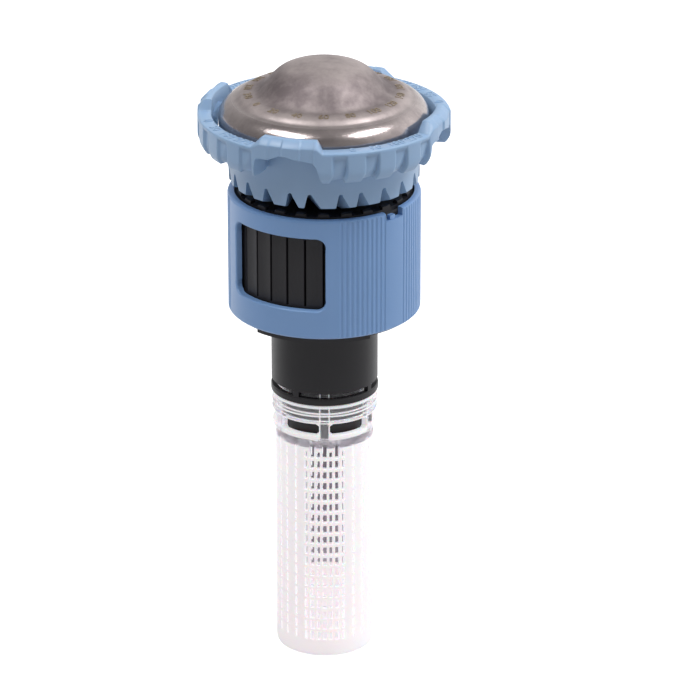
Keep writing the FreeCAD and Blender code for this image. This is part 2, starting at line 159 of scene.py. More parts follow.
def group(name, inputs, outputs):
    """Node group with named sockets; returns its Tree, its input node and its output node."""
    tree = bpy.data.node_groups.new(name, "ShaderNodeTree")
    for label, kind, value in inputs:
        socket = tree.interface.new_socket(label, in_out="INPUT", socket_type=kind)
        socket.default_value = value
    for label, kind in outputs:
        tree.interface.new_socket(label, in_out="OUTPUT", socket_type=kind)
    work = Tree(tree)
    return work, work.add("NodeGroupInput"), work.add("NodeGroupOutput")


COLOUR = "NodeSocketColor"
NUMBER = "NodeSocketFloat"
VECTOR = "NodeSocketVector"
DRIFT_SCALE = 160.0        # noise scales are per metre
PIT_SCALE = 2600.0
GRAIN_HEIGHT = 0.00002     # metres
PIT_HEIGHT = 0.00003


def moulded_group():
    """Moulded plastic: slow colour drift, and a fine grain in its roughness and its surface."""
    work, start, end = group("moulded skin", [
        ("Colour", COLOUR, (0.5, 0.5, 0.5, 1)), ("Shade", COLOUR, (0.4, 0.4, 0.4, 1)),
        ("Drift", NUMBER, 0.5), ("Roughness", NUMBER, 0.4), ("Spread", NUMBER, 0.06),
        ("Grain size", NUMBER, 2500.0), ("Grain", NUMBER, 0.1)],
        [("Colour", COLOUR), ("Roughness", NUMBER), ("Normal", VECTOR)])
    place = work.add("ShaderNodeTexCoord").outputs["Object"]
    slow = work.add("ShaderNodeTexNoise", {"Vector": place, "Scale": DRIFT_SCALE, "Detail": 3.0})
    fine = work.add("ShaderNodeTexNoise", {"Vector": place, "Scale": start.outputs["Grain size"],
                                           "Detail": 4.0, "Roughness": 0.6})
    amount = work.add("ShaderNodeMath", {0: slow.outputs["Fac"], 1: start.outputs["Drift"]},
                      operation="MULTIPLY")
    tint = work.add("ShaderNodeMix", {"Factor": amount.outputs[0], "A": start.outputs["Colour"],
                                      "B": start.outputs["Shade"]}, data_type="RGBA")
    fine_off = work.add("ShaderNodeMath", {0: fine.outputs["Fac"], 1: 0.5}, operation="SUBTRACT")
    rough = work.add("ShaderNodeMath", {0: fine_off.outputs[0], 1: start.outputs["Spread"],
                                        2: start.outputs["Roughness"]}, operation="MULTIPLY_ADD")
    bump = work.add("ShaderNodeBump", {"Strength": start.outputs["Grain"], "Distance": GRAIN_HEIGHT,
                                       "Height": fine.outputs["Fac"]})
    links = work.tree.links
    links.new(tint.outputs["Result"], end.inputs["Colour"])
    links.new(rough.outputs[0], end.inputs["Roughness"])
    links.new(bump.outputs[0], end.inputs["Normal"])
    return work.tree


def steel_group():
    """Pressed steel: cloudy stains, a dull boss with painted shade round its foot inside a rubbed
    shoulder, fine pits.
    """
    work, start, end = group("pressed steel", [
        ("Colour", COLOUR, (0.5, 0.5, 0.5, 1)), ("Stain and shade", COLOUR, (0.3, 0.28, 0.26, 1)),
        ("Roughness", NUMBER, 0.3), ("Cloud size", NUMBER, 260.0), ("Cloud", NUMBER, 0.6),
        ("Grain", NUMBER, 0.15), ("Dullness", NUMBER, 0.0), ("Rubbed radius", NUMBER, 1.0),
        ("Painted foot shade", NUMBER, 0.0)],
        [("Colour", COLOUR), ("Roughness", NUMBER), ("Normal", VECTOR)])
    place = work.add("ShaderNodeTexCoord").outputs["Object"]
    cloud = work.add("ShaderNodeTexNoise", {"Vector": place, "Scale": start.outputs["Cloud size"],
                                            "Detail": 6.0, "Roughness": 0.62})
    pits = work.add("ShaderNodeTexNoise", {"Vector": place, "Scale": PIT_SCALE, "Detail": 5.0,
                                           "Roughness": 0.7})
    ramp = work.add("ShaderNodeMapRange", {"Value": cloud.outputs["Fac"], "From Min": 0.36,
                                           "From Max": 0.68, "To Min": 0.0, "To Max": 1.0})
    amount = work.add("ShaderNodeMath", {0: ramp.outputs[0], 1: start.outputs["Cloud"]},
                      operation="MULTIPLY")
    # Reach is the distance from the axis as a share of the rubbed radius. The painted shade at the boss's
    # foot fades in and out between four such shares.
    sides = work.add("ShaderNodeVectorMath", {0: place, 1: (1.0, 1.0, 0.0)}, operation="MULTIPLY")
    radius = work.add("ShaderNodeVectorMath", {0: sides.outputs[0]}, operation="LENGTH")
    reach = work.add("ShaderNodeMath", {0: radius.outputs["Value"], 1: start.outputs["Rubbed radius"]},
                     operation="DIVIDE")
    inner = work.add("ShaderNodeMapRange", {"Value": reach.outputs[0], "From Min": 0.9,
                                            "From Max": 1.0, "To Min": 1.0, "To Max": 0.0})
    foot_in = work.add("ShaderNodeMapRange", {"Value": reach.outputs[0], "From Min": 0.36,
                                              "From Max": 0.56}, interpolation_type="SMOOTHSTEP")
    foot_out = work.add("ShaderNodeMapRange", {"Value": reach.outputs[0], "From Min": 0.68,
                                               "From Max": 0.84, "To Min": 1.0, "To Max": 0.0})
    foot = work.add("ShaderNodeMath", {0: foot_in.outputs[0], 1: foot_out.outputs[0]},
                    operation="MULTIPLY")
    # Painted shade: the boss's concave foot is darkened towards the stain colour, on top of the real
    # cloudy stains.
    stain_and_foot_shade = work.add("ShaderNodeMath", {0: foot.outputs[0], 1: start.outputs["Painted foot shade"],
                                       2: amount.outputs[0]}, operation="MULTIPLY_ADD", use_clamp=True)
    tint = work.add("ShaderNodeMix", {"Factor": stain_and_foot_shade.outputs[0], "A": start.outputs["Colour"],
                                      "B": start.outputs["Stain and shade"]}, data_type="RGBA")
    clouded = work.add("ShaderNodeMath", {0: ramp.outputs[0], 1: 0.08, 2: start.outputs["Roughness"]},
                       operation="MULTIPLY_ADD")
    rough = work.add("ShaderNodeMath", {0: inner.outputs[0], 1: start.outputs["Dullness"],
                                        2: clouded.outputs[0]}, operation="MULTIPLY_ADD")
    bump = work.add("ShaderNodeBump", {"Strength": start.outputs["Grain"], "Distance": PIT_HEIGHT,
                                       "Height": pits.outputs["Fac"]})
    links = work.tree.links
    links.new(tint.outputs["Result"], end.inputs["Colour"])
    links.new(rough.outputs[0], end.inputs["Roughness"])
    links.new(bump.outputs[0], end.inputs["Normal"])
    return work.tree


SKIN = moulded_group()
STEEL = steel_group()


def material(name, effect, values, shader):
    """Material whose colour, roughness and normal come from an effect group."""
    made = bpy.data.materials.new(name)
    made.use_nodes = True
    tree = made.node_tree
    face = tree.nodes["Principled BSDF"]
    work = Tree(tree)
    node = work.add("ShaderNodeGroup")
    node.node_tree = effect
    for key, value in values.items():
        node.inputs[key].default_value = value
    tree.links.new(node.outputs["Colour"], face.inputs["Base Color"])
    tree.links.new(node.outputs["Roughness"], face.inputs["Roughness"])
    tree.links.new(node.outputs["Normal"], face.inputs["Normal"])
    for key, value in shader.items():
        face.inputs[key].default_value = value
    return made


RING_BLUE = material("ring blue acetal", SKIN, {
    "Colour": (0.285, 0.435, 0.640, 1), "Shade": (0.250, 0.385, 0.590, 1), "Drift": 0.6,
    "Roughness": 0.40, "Spread": 0.08, "Grain size": 1800.0, "Grain": 0.12},
    {"Specular IOR Level": 0.7, "Subsurface Weight": 0.12, "Subsurface Scale": 0.0012,
     "Subsurface Radius": (0.5, 0.8, 1.0)})
COLLAR_BLUE = material("collar blue", SKIN, {
    "Colour": (0.205, 0.360, 0.640, 1), "Shade": (0.178, 0.318, 0.585, 1), "Drift": 0.6,
    "Roughness": 0.38, "Spread": 0.08, "Grain size": 2000.0, "Grain": 0.12},
    {"Specular IOR Level": 0.5, "Subsurface Weight": 0.08, "Subsurface Scale": 0.0008,
     "Subsurface Radius": (0.5, 0.8, 1.0)})
BLACK = material("satin black moulding", SKIN, {
    "Colour": (0.016, 0.015, 0.018, 1), "Shade": (0.011, 0.010, 0.013, 1), "Drift": 0.8,
    "Roughness": 0.42, "Spread": 0.12, "Grain size": 2200.0, "Grain": 0.25},
    {"Specular IOR Level": 0.45})
DIAL_BLACK = material("matt black thumb ring", SKIN, {
    "Colour": (0.018, 0.017, 0.020, 1), "Shade": (0.013, 0.012, 0.015, 1), "Drift": 0.8,
    "Roughness": 0.48, "Spread": 0.12, "Grain size": 2600.0, "Grain": 0.35},
    {"Specular IOR Level": 0.45})
RUBBER = material("nitrile rubber", SKIN, {
    "Colour": (0.015, 0.015, 0.016, 1), "Shade": (0.022, 0.022, 0.023, 1), "Drift": 0.8,
    "Roughness": 0.62, "Spread": 0.1, "Grain size": 1500.0, "Grain": 0.3},
    {"Specular IOR Level": 0.35})
NATURAL = material("natural acetal", SKIN, {
    "Colour": (0.78, 0.77, 0.72, 1), "Shade": (0.70, 0.69, 0.64, 1), "Drift": 0.5,
    "Roughness": 0.35, "Spread": 0.08, "Grain size": 1800.0, "Grain": 0.1},
    {"Subsurface Weight": 0.2, "Subsurface Scale": 0.001})
CLEAR = material("clear screen moulding", SKIN, {
    "Colour": (0.93, 0.93, 0.95, 1), "Shade": (0.88, 0.88, 0.91, 1), "Drift": 0.5,
    "Roughness": 0.3, "Spread": 0.08, "Grain size": 1200.0, "Grain": 0.1},
    {"Transmission Weight": 0.88, "IOR": 1.12})
# The emission paints a glow of light through the milky plastic; its near-white colour is the moulding's
# own.
MILKY_GLOWING = material("milky screen moulding with painted glow", SKIN, {
    "Colour": (0.86, 0.845, 0.865, 1), "Shade": (0.80, 0.785, 0.805, 1), "Drift": 0.5,
    "Roughness": 0.4, "Spread": 0.08, "Grain size": 1200.0, "Grain": 0.1},
    {"Subsurface Weight": 0.5, "Subsurface Scale": 0.0015, "Emission Color": (0.95, 0.92, 0.95, 1),
     "Emission Strength": 0.30})
# Dark grey painted shade on the inner wall, where little light reaches inside the screen.
SHADED = material("shaded inside of the screen", SKIN, {
    "Colour": (0.30, 0.27, 0.31, 1), "Shade": (1.0, 0.95, 1.0, 1), "Drift": 0.9,
    "Roughness": 0.5, "Spread": 0.1, "Grain size": 900.0, "Grain": 0.1}, {"IOR": 1.3})
MARK_STEEL = material("pressed steel marks", STEEL, {
    "Colour": (0.44, 0.36, 0.27, 1), "Stain and shade": (0.30, 0.245, 0.18, 1), "Roughness": 0.36,
    "Cloud size": 240.0, "Cloud": 0.65, "Grain": 0.22}, {"Metallic": 1.0})
# The foot value of 0.6 paints shade into the boss's concave foot; the cloud is the cap's own staining.
CAP_STEEL = material("pressed stainless cap", STEEL, {
    "Colour": (0.54, 0.475, 0.465, 1), "Stain and shade": (0.225, 0.19, 0.195, 1), "Roughness": 0.19,
    "Cloud size": 300.0, "Cloud": 0.55, "Grain": 0.3, "Dullness": 0.38, "Rubbed radius": 0.0115,
    "Painted foot shade": 0.6}, {"Metallic": 1.0})
BRIGHT_STEEL = material("ground stainless", STEEL, {
    "Colour": (0.62, 0.61, 0.60, 1), "Stain and shade": (0.50, 0.49, 0.48, 1), "Roughness": 0.22,
    "Cloud size": 500.0, "Cloud": 0.3, "Grain": 0.1}, {"Metallic": 1.0})

FINISHES = {
    "ring_blue": RING_BLUE, "collar_blue": COLLAR_BLUE, "black_plastic": BLACK,
    "dial_black": DIAL_BLACK, "rubber": RUBBER, "white_plastic": NATURAL,
    "screen_clear": CLEAR, "cap_steel": CAP_STEEL, "bright_steel": BRIGHT_STEEL,
}

for part in frame["record"]["subparts"]:
    solid = nodes[part["node"]]
    solid.data.materials.clear()
    solid.data.materials.append(FINISHES[part["material_slot"]])


# ---- grip ring -------------------------------------------------------------------------------
RING_R = 15.6              # outside of the ring
RING_INNER_R = 13.85
BORE_R = 13.3              # under the web
WEB_R = 11.9               # the low sections reach in to the rotor
LEDGE_R = 13.08            # under an arch a thin ledge reaches in to just short of the cap
GAP_FLOOR = 23.5           # floor of the gap between ring and cap
LOW_TOP = 25.5
RAISED_TOP = 26.8
RIDGE = 26.0               # outer edge of a raised section
BAND_BOTTOM = 25.1         # plain band along the top of the wall
BOWL_TOP = 23.1            # below here the wall turns in
BOWL_DEPTH = 0.6
WALL_ROWS = 11
RIB_PITCH = 15.0
RIB_LEAN = 1.3             # degrees that the foot of a rib is turned
RIB_FOOT = 21.5
RECESS_FOOT = 21.85
WEB_FOOT = 21.95
RECESS_DEPTH = 0.34        # at the top of a recess, and what it gains further down
RECESS_GAIN = 0.5
ARCH_RECESS = 0.2          # depth of the recesses on a raised section
EDGE_R = (15.42, 14.72)    # outer edge of the flat top, on a low and on a raised section
BEVEL_R = (15.48, 14.84)   # the same a little further down
RING_SECTIONS = 1080
RING_STEP = 360 / RING_SECTIONS
QUARTER = 90
# Raised section: where it starts to rise and has stopped falling, in degrees before the quarter line,
# and how many degrees the rise and the fall take.
RISE_START = -34.5
RISE = 4.3
FALL_END = -0.4
FALL = 2.6
# The web ends where an arch begins and comes back where it ends.
WEB_LEAVES = (-34.6, -33.6)
WEB_RETURNS = (-1.0, 0.0)
ARCH_MIDDLE = -10
# Underside of an arch: degrees before the quarter line, and height.
ARCH = ((-33.8, 21.5), (-32.2, 23.9), (-30.5, 24.1), (-25.5, 24.15), (-21.0, 24.72), (-17.5, 24.82),
        (-13.0, 24.5), (-8.5, 24.3), (-4.8, 24.1), (-3.2, 23.6), (-2.2, 22.7), (-1.3, 21.8), (-0.4, 21.4))


def along(outline, x):
    """Height of an outline at x, straight between its points."""
    for (x0, y0), (x1, y1) in zip(outline, outline[1:]):
        if x <= x1:
            return mix(y0, y1, max(0.0, (x - x0) / (x1 - x0)))
    return outline[-1][1]


def recess(angle, height):
    """How far into a recess between two ribs this place is, 0 to 1, and how far across it."""
    lean = RIB_LEAN * (1 - smooth(RIB_FOOT, 23.0, height))
    across = ((angle + lean - RIB_PITCH / 4) % RIB_PITCH) / (RIB_PITCH / 2)
    if across > 1:
        return 0.0, 0.0
    return smooth(0, 0.15, across) * smooth(0, 0.15, 1 - across), across


def wall_radius(z):
    """Outside of the wall: upright, then turned in like a bowl."""
    return RING_R - BOWL_DEPTH * max(0.0, (BOWL_TOP - z) / 1.5) ** 2


def ring_section(angle):
    """Closed section of the ring at an angle; raised arches end at 0, 90, 180 and 270 degrees."""
    q = angle % QUARTER - QUARTER
    raised = max(0.0, min(1.0, (q - RISE_START) / RISE, (FALL_END - q) / FALL))
    web = 1 - smooth(*WEB_LEAVES, q) if q < ARCH_MIDDLE else smooth(*WEB_RETURNS, q)
    foot = mix(along(ARCH, q), mix(RIB_FOOT, RECESS_FOOT, recess(angle, RIB_FOOT)[0]), web)
    top = mix(LOW_TOP, RAISED_TOP, raised)
    wall_top = mix(BAND_BOTTOM, RIDGE - 0.15, raised)
    facet = ARCH_RECESS * recess(angle, top)[0] * raised
    points = [
        (mix(LEDGE_R, WEB_R, web), mix(foot + 0.03, WEB_FOOT, web)),
        (mix(LEDGE_R, WEB_R, web), mix(foot + 0.3, GAP_FLOOR, web)),
        (RING_INNER_R - 0.02, mix(foot + 0.35, GAP_FLOOR, web)),
        (RING_INNER_R, top - 0.14), (RING_INNER_R + 0.12, top),
        (mix(*EDGE_R, raised) - facet, top), (mix(*BEVEL_R, raised) - facet, top - 0.03),
        (RING_R - 0.06 - facet, mix(LOW_TOP - 0.05, RIDGE + 0.04, raised)),
        (RING_R - facet, mix(LOW_TOP - 0.14, RIDGE - 0.06, raised))]
    for row in range(WALL_ROWS):
        z = mix(wall_top, foot + 0.12, row / (WALL_ROWS - 1))
        depth, across = recess(angle, z)
        fall = (BAND_BOTTOM - z) / (BAND_BOTTOM - RECESS_FOOT)
        scoop = mix(RECESS_DEPTH + RECESS_GAIN * smooth(0, 1, across + fall - 0.9), ARCH_RECESS, raised)
        start = max(raised, smooth(0, 0.16, BAND_BOTTOM - z))
        points.append((wall_radius(z) - depth * scoop * start, z))
    edge = points[-1][0]
    points.append((edge - 0.16, foot))
    points.append((mix(RING_INNER_R + 0.3, BORE_R, web), mix(foot, foot + 0.12, web)))
    return [at(radius, angle, z) for radius, z in points]


ring_sections = [ring_section(step * RING_STEP) for step in range(RING_SECTIONS)]
grip_ring = loft("grip_ring_moulding", ring_sections, 50)
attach(grip_ring, "rotor")
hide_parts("grip_ring")
grip_ring.data.materials.append(RING_BLUE)


# ---- filter screen ---------------------------------------------------------------------------
SCREEN_ROWS = 17
ROW_PITCH = 1.48
ROW_HEIGHT = 1.1
FIRST_ROW = -18.8
SCREEN_FOOT = -46.0
SCREEN_R = 6.2
SCREEN_INNER_R = 5.55
FOOT_ROUND = 0.6           # radius of the edge round the closed end
WINDOWS = 6
WINDOW_PITCH = 360 // WINDOWS
PILLAR = 5.9               # half width in degrees of the pillars between the windows
# The milky edge along a pillar is a painted highlight on the clear band.
OUTLINE = 0.9              # width in degrees of the milky edge along a pillar
WINDOW_CORNER = 0.3        # how far a window's corners are filled
CORNER_END = 8.5           # degrees from a pillar's middle
CELL_WIDTH = 4             # widest cell in degrees
# Heights of the milky parts, from and to: proud ribs, lip under the windows, and the grid's top. On the
# clear band the milky ribs, lip and pillar edges are painted highlights.
PROUD_RIBS = ((-11.5, -11.1), (-12.6, -12.35), (-13.5, -13.35))
LIP = (-15.8, -15.1)
OUTLINE_FOOT = -15.35
GRID_TOP = -17.0
# SHADED_INSIDE is the height band of that painted shade on the inner wall.
SHADED_INSIDE = (-38.0, -16.8)
# Columns of slots: angle, width in degrees, and whether it is a long one that starts at the band.
FRONT_SLOTS = ((0, 5.1, True), (7.5, 4.0, False), (15, 5.4, True), (22.5, 3.4, False))
SIDE_SLOTS = ((36, 2.2, True), (50, 2.0, False), (63, 2.0, True), (77, 2.0, False), (90, 2.4, True))
BACK_SLOTS = ((3.75, 2.2, True), (11.25, 3.2, False), (18.75, 3.2, True), (28, 2.2, False))
# Kinds of holes below a ring, and finishes of a face.
PLAIN, WINDOW, LONG_ONLY, SLOTS = range(4)
CLEAR_FACE, MILKY_GLOW_FACE, SHADED_FACE = range(3)


def slot_list():
    """Every column of slots round the screen as (angle, width, long), the same on both sides."""
    slots = []
    for angle, width, long in FRONT_SLOTS + SIDE_SLOTS:
        slots += [(side * angle % 360, width, long) for side in ((1, -1) if angle else (1,))]
    for angle, width, long in SIDE_SLOTS[:-1]:
        slots += [(180 + side * angle, width, long) for side in (1, -1)]
    for angle, width, long in BACK_SLOTS:
        slots += [(180 + side * angle, width, long) for side in (1, -1)]
    return slots


def slot_at(angle):
    """Whether the slot at an angle is a long one, or None between slots."""
    for centre, width, long in slot_list():
        if abs((angle - centre + 180) % 360 - 180) < width / 2:
            return long
    return None


def screen_angles():
    """Edges of the screen's cells: both sides of every slot, pillar and outline, and cuts between."""
    edges = {0.0}
    for centre, width, long in slot_list():
        edges |= {(centre - width / 2) % 360, (centre + width / 2) % 360}
    for pillar in range(WINDOWS):
        middle = pillar * WINDOW_PITCH
        for offset in (PILLAR, PILLAR - OUTLINE):
            edges |= {(middle - offset) % 360, (middle + offset) % 360}
    edges = sorted(round(edge, 3) for edge in edges)
    filled = []
    for edge, following in zip(edges, edges[1:] + [360.0]):
        parts = math.ceil((following - edge) / CELL_WIDTH)
        filled += [mix(edge, following, part / parts) for part in range(parts)]
    return filled


def screen_rings():
    """Rings of the screen's wall from the top down: height, outer and inner radius, holes below."""
    inner = SCREEN_INNER_R
    rings = [(-8.6, 5.9, 5.5, PLAIN), (-8.75, 6.0, 5.45, PLAIN), (-11.1, 6.0, 5.45, PLAIN),
             (-11.11, 6.55, 5.45, PLAIN), (-11.2, 6.65, 5.7, PLAIN), (-11.45, 6.65, 5.75, PLAIN),
             (-11.55, 6.6, 5.75, PLAIN), (-12.3, 6.58, 5.75, PLAIN), (-12.4, 6.62, 5.75, PLAIN),
             (-12.55, 6.62, 5.75, PLAIN), (-12.65, 6.58, 5.75, PLAIN), (-13.3, 6.58, 5.75, PLAIN),
             (-13.4, 6.62, 5.75, PLAIN), (-13.6, 6.55, 5.75, WINDOW), (-15.2, 6.55, 5.75, PLAIN),
             (-15.45, 6.6, 5.7, PLAIN), (-15.75, 6.52, 5.65, PLAIN), (-15.95, 6.22, 5.6, PLAIN),
             (-16.85, 6.14, 5.5, LONG_ONLY), (-17.05, SCREEN_R, inner, LONG_ONLY),
             (-17.6, SCREEN_R, inner, SLOTS), (-18.45, SCREEN_R, inner, PLAIN)]
    for row in range(SCREEN_ROWS):
        z = FIRST_ROW - row * ROW_PITCH
        rings.append((z, SCREEN_R, inner, SLOTS))
        rings.append((z - ROW_HEIGHT, SCREEN_R, inner, PLAIN))
    rings.append((SCREEN_FOOT + 0.75, SCREEN_R, inner, PLAIN))
    for step in range(1, 5):
        turn = math.pi / 8 * step
        rings.append((SCREEN_FOOT + FOOT_ROUND * (1 - math.sin(turn)),
                      SCREEN_R - FOOT_ROUND * (1 - math.cos(turn)), inner - 0.1 * step, PLAIN))
    rings.append((SCREEN_FOOT, 0.0, 0.0, PLAIN))
    return rings


def from_pillar(angle):
    """Degrees from an angle to the middle of the nearest pillar."""
    return min(angle % WINDOW_PITCH, WINDOW_PITCH - angle % WINDOW_PITCH)


def between(low, high, value):
    return low < value < high


def screen():
    """Wall of the screen as a grid of open and closed cells: points, faces and their finishes."""
    angles = screen_angles()
    rings = screen_rings()
    size = len(angles)
    centres = [(a + b) / 2 for a, b in zip(angles, angles[1:] + [360.0])]
    slots = [slot_at(centre) for centre in centres]
    in_window = [from_pillar(centre) > PILLAR for centre in centres]
    outline = [between(PILLAR - OUTLINE, PILLAR, from_pillar(centre)) for centre in centres]
    pillar = [from_pillar(centre) < PILLAR - OUTLINE for centre in centres]
    points = []
    for index, (z, outer, inner, kind) in enumerate(rings):
        inner_z = max(z, SCREEN_FOOT + FOOT_ROUND)
        above = rings[index - 1][3]
        for angle in angles:
            end = from_pillar(angle)
            corner = 0.0
            if end > PILLAR - 0.1:
                corner = WINDOW_CORNER * (1 - smooth(PILLAR, CORNER_END, end))
            drop = corner if above == WINDOW else -corner if kind == WINDOW else 0.0
            points += [at(outer, angle, z + drop), at(inner, angle, inner_z + drop)]

    def corner_index(row, cell, inside):
        return (row * size + cell % size) * 2 + inside

    faces, finish = [], []
    rows = len(rings) - 1

    def closed(row, cell):
        if not 0 <= row < rows:
            return False
        kind, cell = rings[row][3], cell % size
        if kind == WINDOW:
            return not in_window[cell]
        if kind == PLAIN or slots[cell] is None:
            return True
        return kind == LONG_ONLY and not slots[cell]

    def face(corners, row):
        z, cell = rings[row][0], corners[0][1] % size
        faces.append(tuple(corner_index(*corner) for corner in corners))
        # Proud ribs, the lip and the pillar edges on the clear band take the glowing milky finish as
        # painted highlights.
        proud = any(between(*rib, z) for rib in PROUD_RIBS)
        lip = between(*LIP, z) and not pillar[cell]
        edge = z > OUTLINE_FOOT and outline[cell]
        inside = all(corner[2] for corner in corners)
        if inside and between(*SHADED_INSIDE, z):
            finish.append(SHADED_FACE)
        else:
            finish.append(MILKY_GLOW_FACE if z < GRID_TOP or proud or lip or edge else CLEAR_FACE)

    for row in range(rows):
        for cell in range(size):
            if not closed(row, cell):
                continue
            a, b = cell, cell + 1
            face([(row, a, 0), (row, b, 0), (row + 1, b, 0), (row + 1, a, 0)], row)
            face([(row, a, 1), (row + 1, a, 1), (row + 1, b, 1), (row, b, 1)], row)
            if not closed(row, cell - 1):
                face([(row, a, 0), (row + 1, a, 0), (row + 1, a, 1), (row, a, 1)], row)
            if not closed(row, cell + 1):
                face([(row, b, 0), (row, b, 1), (row + 1, b, 1), (row + 1, b, 0)], row)
            if not closed(row - 1, cell):
                face([(row, a, 0), (row, a, 1), (row, b, 1), (row, b, 0)], row)
            if not closed(row + 1, cell) and row + 1 < rows:
                face([(row + 1, a, 0), (row + 1, b, 0), (row + 1, b, 1), (row + 1, a, 1)], row)
    return points, faces, finish


screen_points, screen_faces, screen_finish = screen()
screen_piece = new_piece("filter_screen_moulding", screen_points, screen_faces, 40, screen_finish)
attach(screen_piece, "filter")
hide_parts("filter_screen")
for paint in (CLEAR, MILKY_GLOWING, SHADED):
    screen_piece.data.materials.append(paint)


# ---- steel cap -------------------------------------------------------------------------------
CAP_R = 13.0
CAP_WALL = 0.5
# Outside of the cap from the middle of the boss out and down: radius and height.
CAP_LINE = ((0, 32.04), (2.0, 31.92), (3.8, 31.58), (5.0, 31.15), (5.8, 30.66), (6.45, 30.05),
            (7.0, 29.45), (7.5, 28.92), (8.0, 28.48), (8.5, 28.2), (9.1, 28.12), (9.8, 28.02),
            (10.3, 27.84), (10.7, 27.5), (11.0, 27.32), (11.5, 27.16), (12.05, 26.82), (12.55, 26.3),
            (12.87, 25.7), (CAP_R, 25.0))
CAP_FOOT = 24.0
CAP_EDGE = 0.12            # height of the broken edges of the rim
CAP_TURNS = 240


def curve_through(line, parts):
    """Smooth curve through a line of points."""
    ends = [line[0]] + list(line) + [line[-1]]
    curve = []
    for a, b, c, d in zip(ends, ends[1:], ends[2:], ends[3:]):
        for part in range(parts):
            t = part / parts
            curve.append(tuple(
                q + 0.5 * t * (r - p + t * (2 * p - 5 * q + 4 * r - s + t * (3 * (q - r) + s - p)))
                for p, q, r, s in zip(a, b, c, d)))
    return curve + [line[-1]]


def cap_section():
    """Outside of the cap, its rim, and the inside one wall thickness in."""
    outside = curve_through(CAP_LINE, 4)
    inside = []
    for (r0, z0), (r1, z1), (r2, z2) in zip(outside, outside[1:], outside[2:]):
        run, rise = r2 - r0, z2 - z0
        size = math.hypot(run, rise)
        inside.append((max(0.0, r1 + CAP_WALL * rise / size), z1 - CAP_WALL * run / size))
    inner_r = CAP_R - CAP_WALL
    rim = [(CAP_R, CAP_FOOT + CAP_EDGE), (CAP_R - 0.06, CAP_FOOT), (inner_r + 0.06, CAP_FOOT),
           (inner_r, CAP_FOOT + CAP_EDGE)]
    return outside + rim + inside[::-1] + [(0.0, CAP_LINE[0][1] - CAP_WALL)]


def cap_height(radius):
    """Height of the outside of the cap at a radius."""
    return along(CAP_LINE, radius)


cap_line = cap_section()
cap_sections = [[at(r, turn * 360 / CAP_TURNS, z) for r, z in cap_line] for turn in range(CAP_TURNS)]
cap_piece = loft("steel_cap_pressing", cap_sections, 40)
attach(cap_piece, "rotor")
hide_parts("steel_cap")
cap_piece.data.materials.append(CAP_STEEL)


# ---- return spring ---------------------------------------------------------------------------
# Its foot rises with the shaft and its top stays under the spider. This coil is wound once, between the
# ends of the spring part.
SPRING_R = 2.6
WIRE_R = 0.3
SPRING_TURNS = 8
TURN_STEPS = 28
WIRE_SIDES = 12


def coil(foot, top):
    """Round wire wound from foot to top, heights of the wire's middle, with flat ends."""
    steps = SPRING_TURNS * TURN_STEPS
    rise = math.atan2(top - foot, 2 * math.pi * SPRING_R * SPRING_TURNS)
    points = []
    for step in range(steps + 1):
        angle = step * 360 / TURN_STEPS
        middle = at(SPRING_R, angle, mix(foot, top, step / steps))
        outward = at(1, angle, 0) / MM
        along_wire = at(1, angle + 90, 0) / MM * math.cos(rise) + Vector((0, 0, math.sin(rise)))
        upward = outward.cross(along_wire)
        for side in range(WIRE_SIDES):
            turn = 2 * math.pi * side / WIRE_SIDES
            points.append(middle + (outward * math.cos(turn) + upward * math.sin(turn)) * WIRE_R * MM)
    faces = [tuple(range(WIRE_SIDES)), tuple(range(steps * WIRE_SIDES, (steps + 1) * WIRE_SIDES))]
    for step in range(steps):
        for side in range(WIRE_SIDES):
            a, b = step * WIRE_SIDES, (step + 1) * WIRE_SIDES
            n = (side + 1) % WIRE_SIDES
            faces.append((a + side, b + side, b + n, a + n))
    return points, faces


spring_low, spring_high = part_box("return_spring")
spring_points, spring_faces = coil(spring_low.z / MM + WIRE_R, spring_high.z / MM - WIRE_R)
spring = new_piece("return_spring_coil", spring_points, spring_faces, 60)
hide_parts("return_spring")
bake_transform(spring)
spring.data.materials.append(BRIGHT_STEEL)


# ---- generic raised marks --------------------------------------------------------------------
MARK_HEIGHT = 0.07         # above the surface, and as deep below it
STROKE = 0.012             # added to both sides of a stroke
RING_MARKS = ("0", "90", "180", "270")
RING_MARK_R = 15.2
RING_MARK_SIZE = 1.75
RING_MARK_START = 14       # degrees past the quarter line
RING_MARK_PITCH = 11.5
CAP_MARKS = 18
CAP_MARK_R = 9.95
CAP_MARK_SIZE = 1.4
CAP_MARK_START = -60
CAP_MARK_PITCH = 20


def raised_mark(name, words, radius, angle, size, surface, finish):
    """Numerals that stand on a surface of revolution, tops towards the axis."""
    curve = bpy.data.curves.new(name, "FONT")
    curve.body = words
    curve.size = size
    curve.align_x = "CENTER"
    curve.extrude = MARK_HEIGHT
    curve.offset = STROKE
    curve.resolution_u = 3
    flat = bpy.data.objects.new(name + "_flat", curve)
    mesh = bpy.data.meshes.new_from_object(flat)
    bpy.data.objects.remove(flat)
    for vertex in mesh.vertices:
        x, y, height = vertex.co
        r = radius - y
        vertex.co = at(r, angle + math.degrees(x / radius), surface(r) + height)
    close(mesh)
    soften(mesh, 35)
    mesh.materials.clear()
    mesh.materials.append(finish)
    piece = bpy.data.objects.new(name, mesh)
    bpy.context.scene.collection.objects.link(piece)
    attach(piece, "rotor")


def ring_top(radius):
    """Height of the ring's low sections, the same at every radius."""
    return LOW_TOP


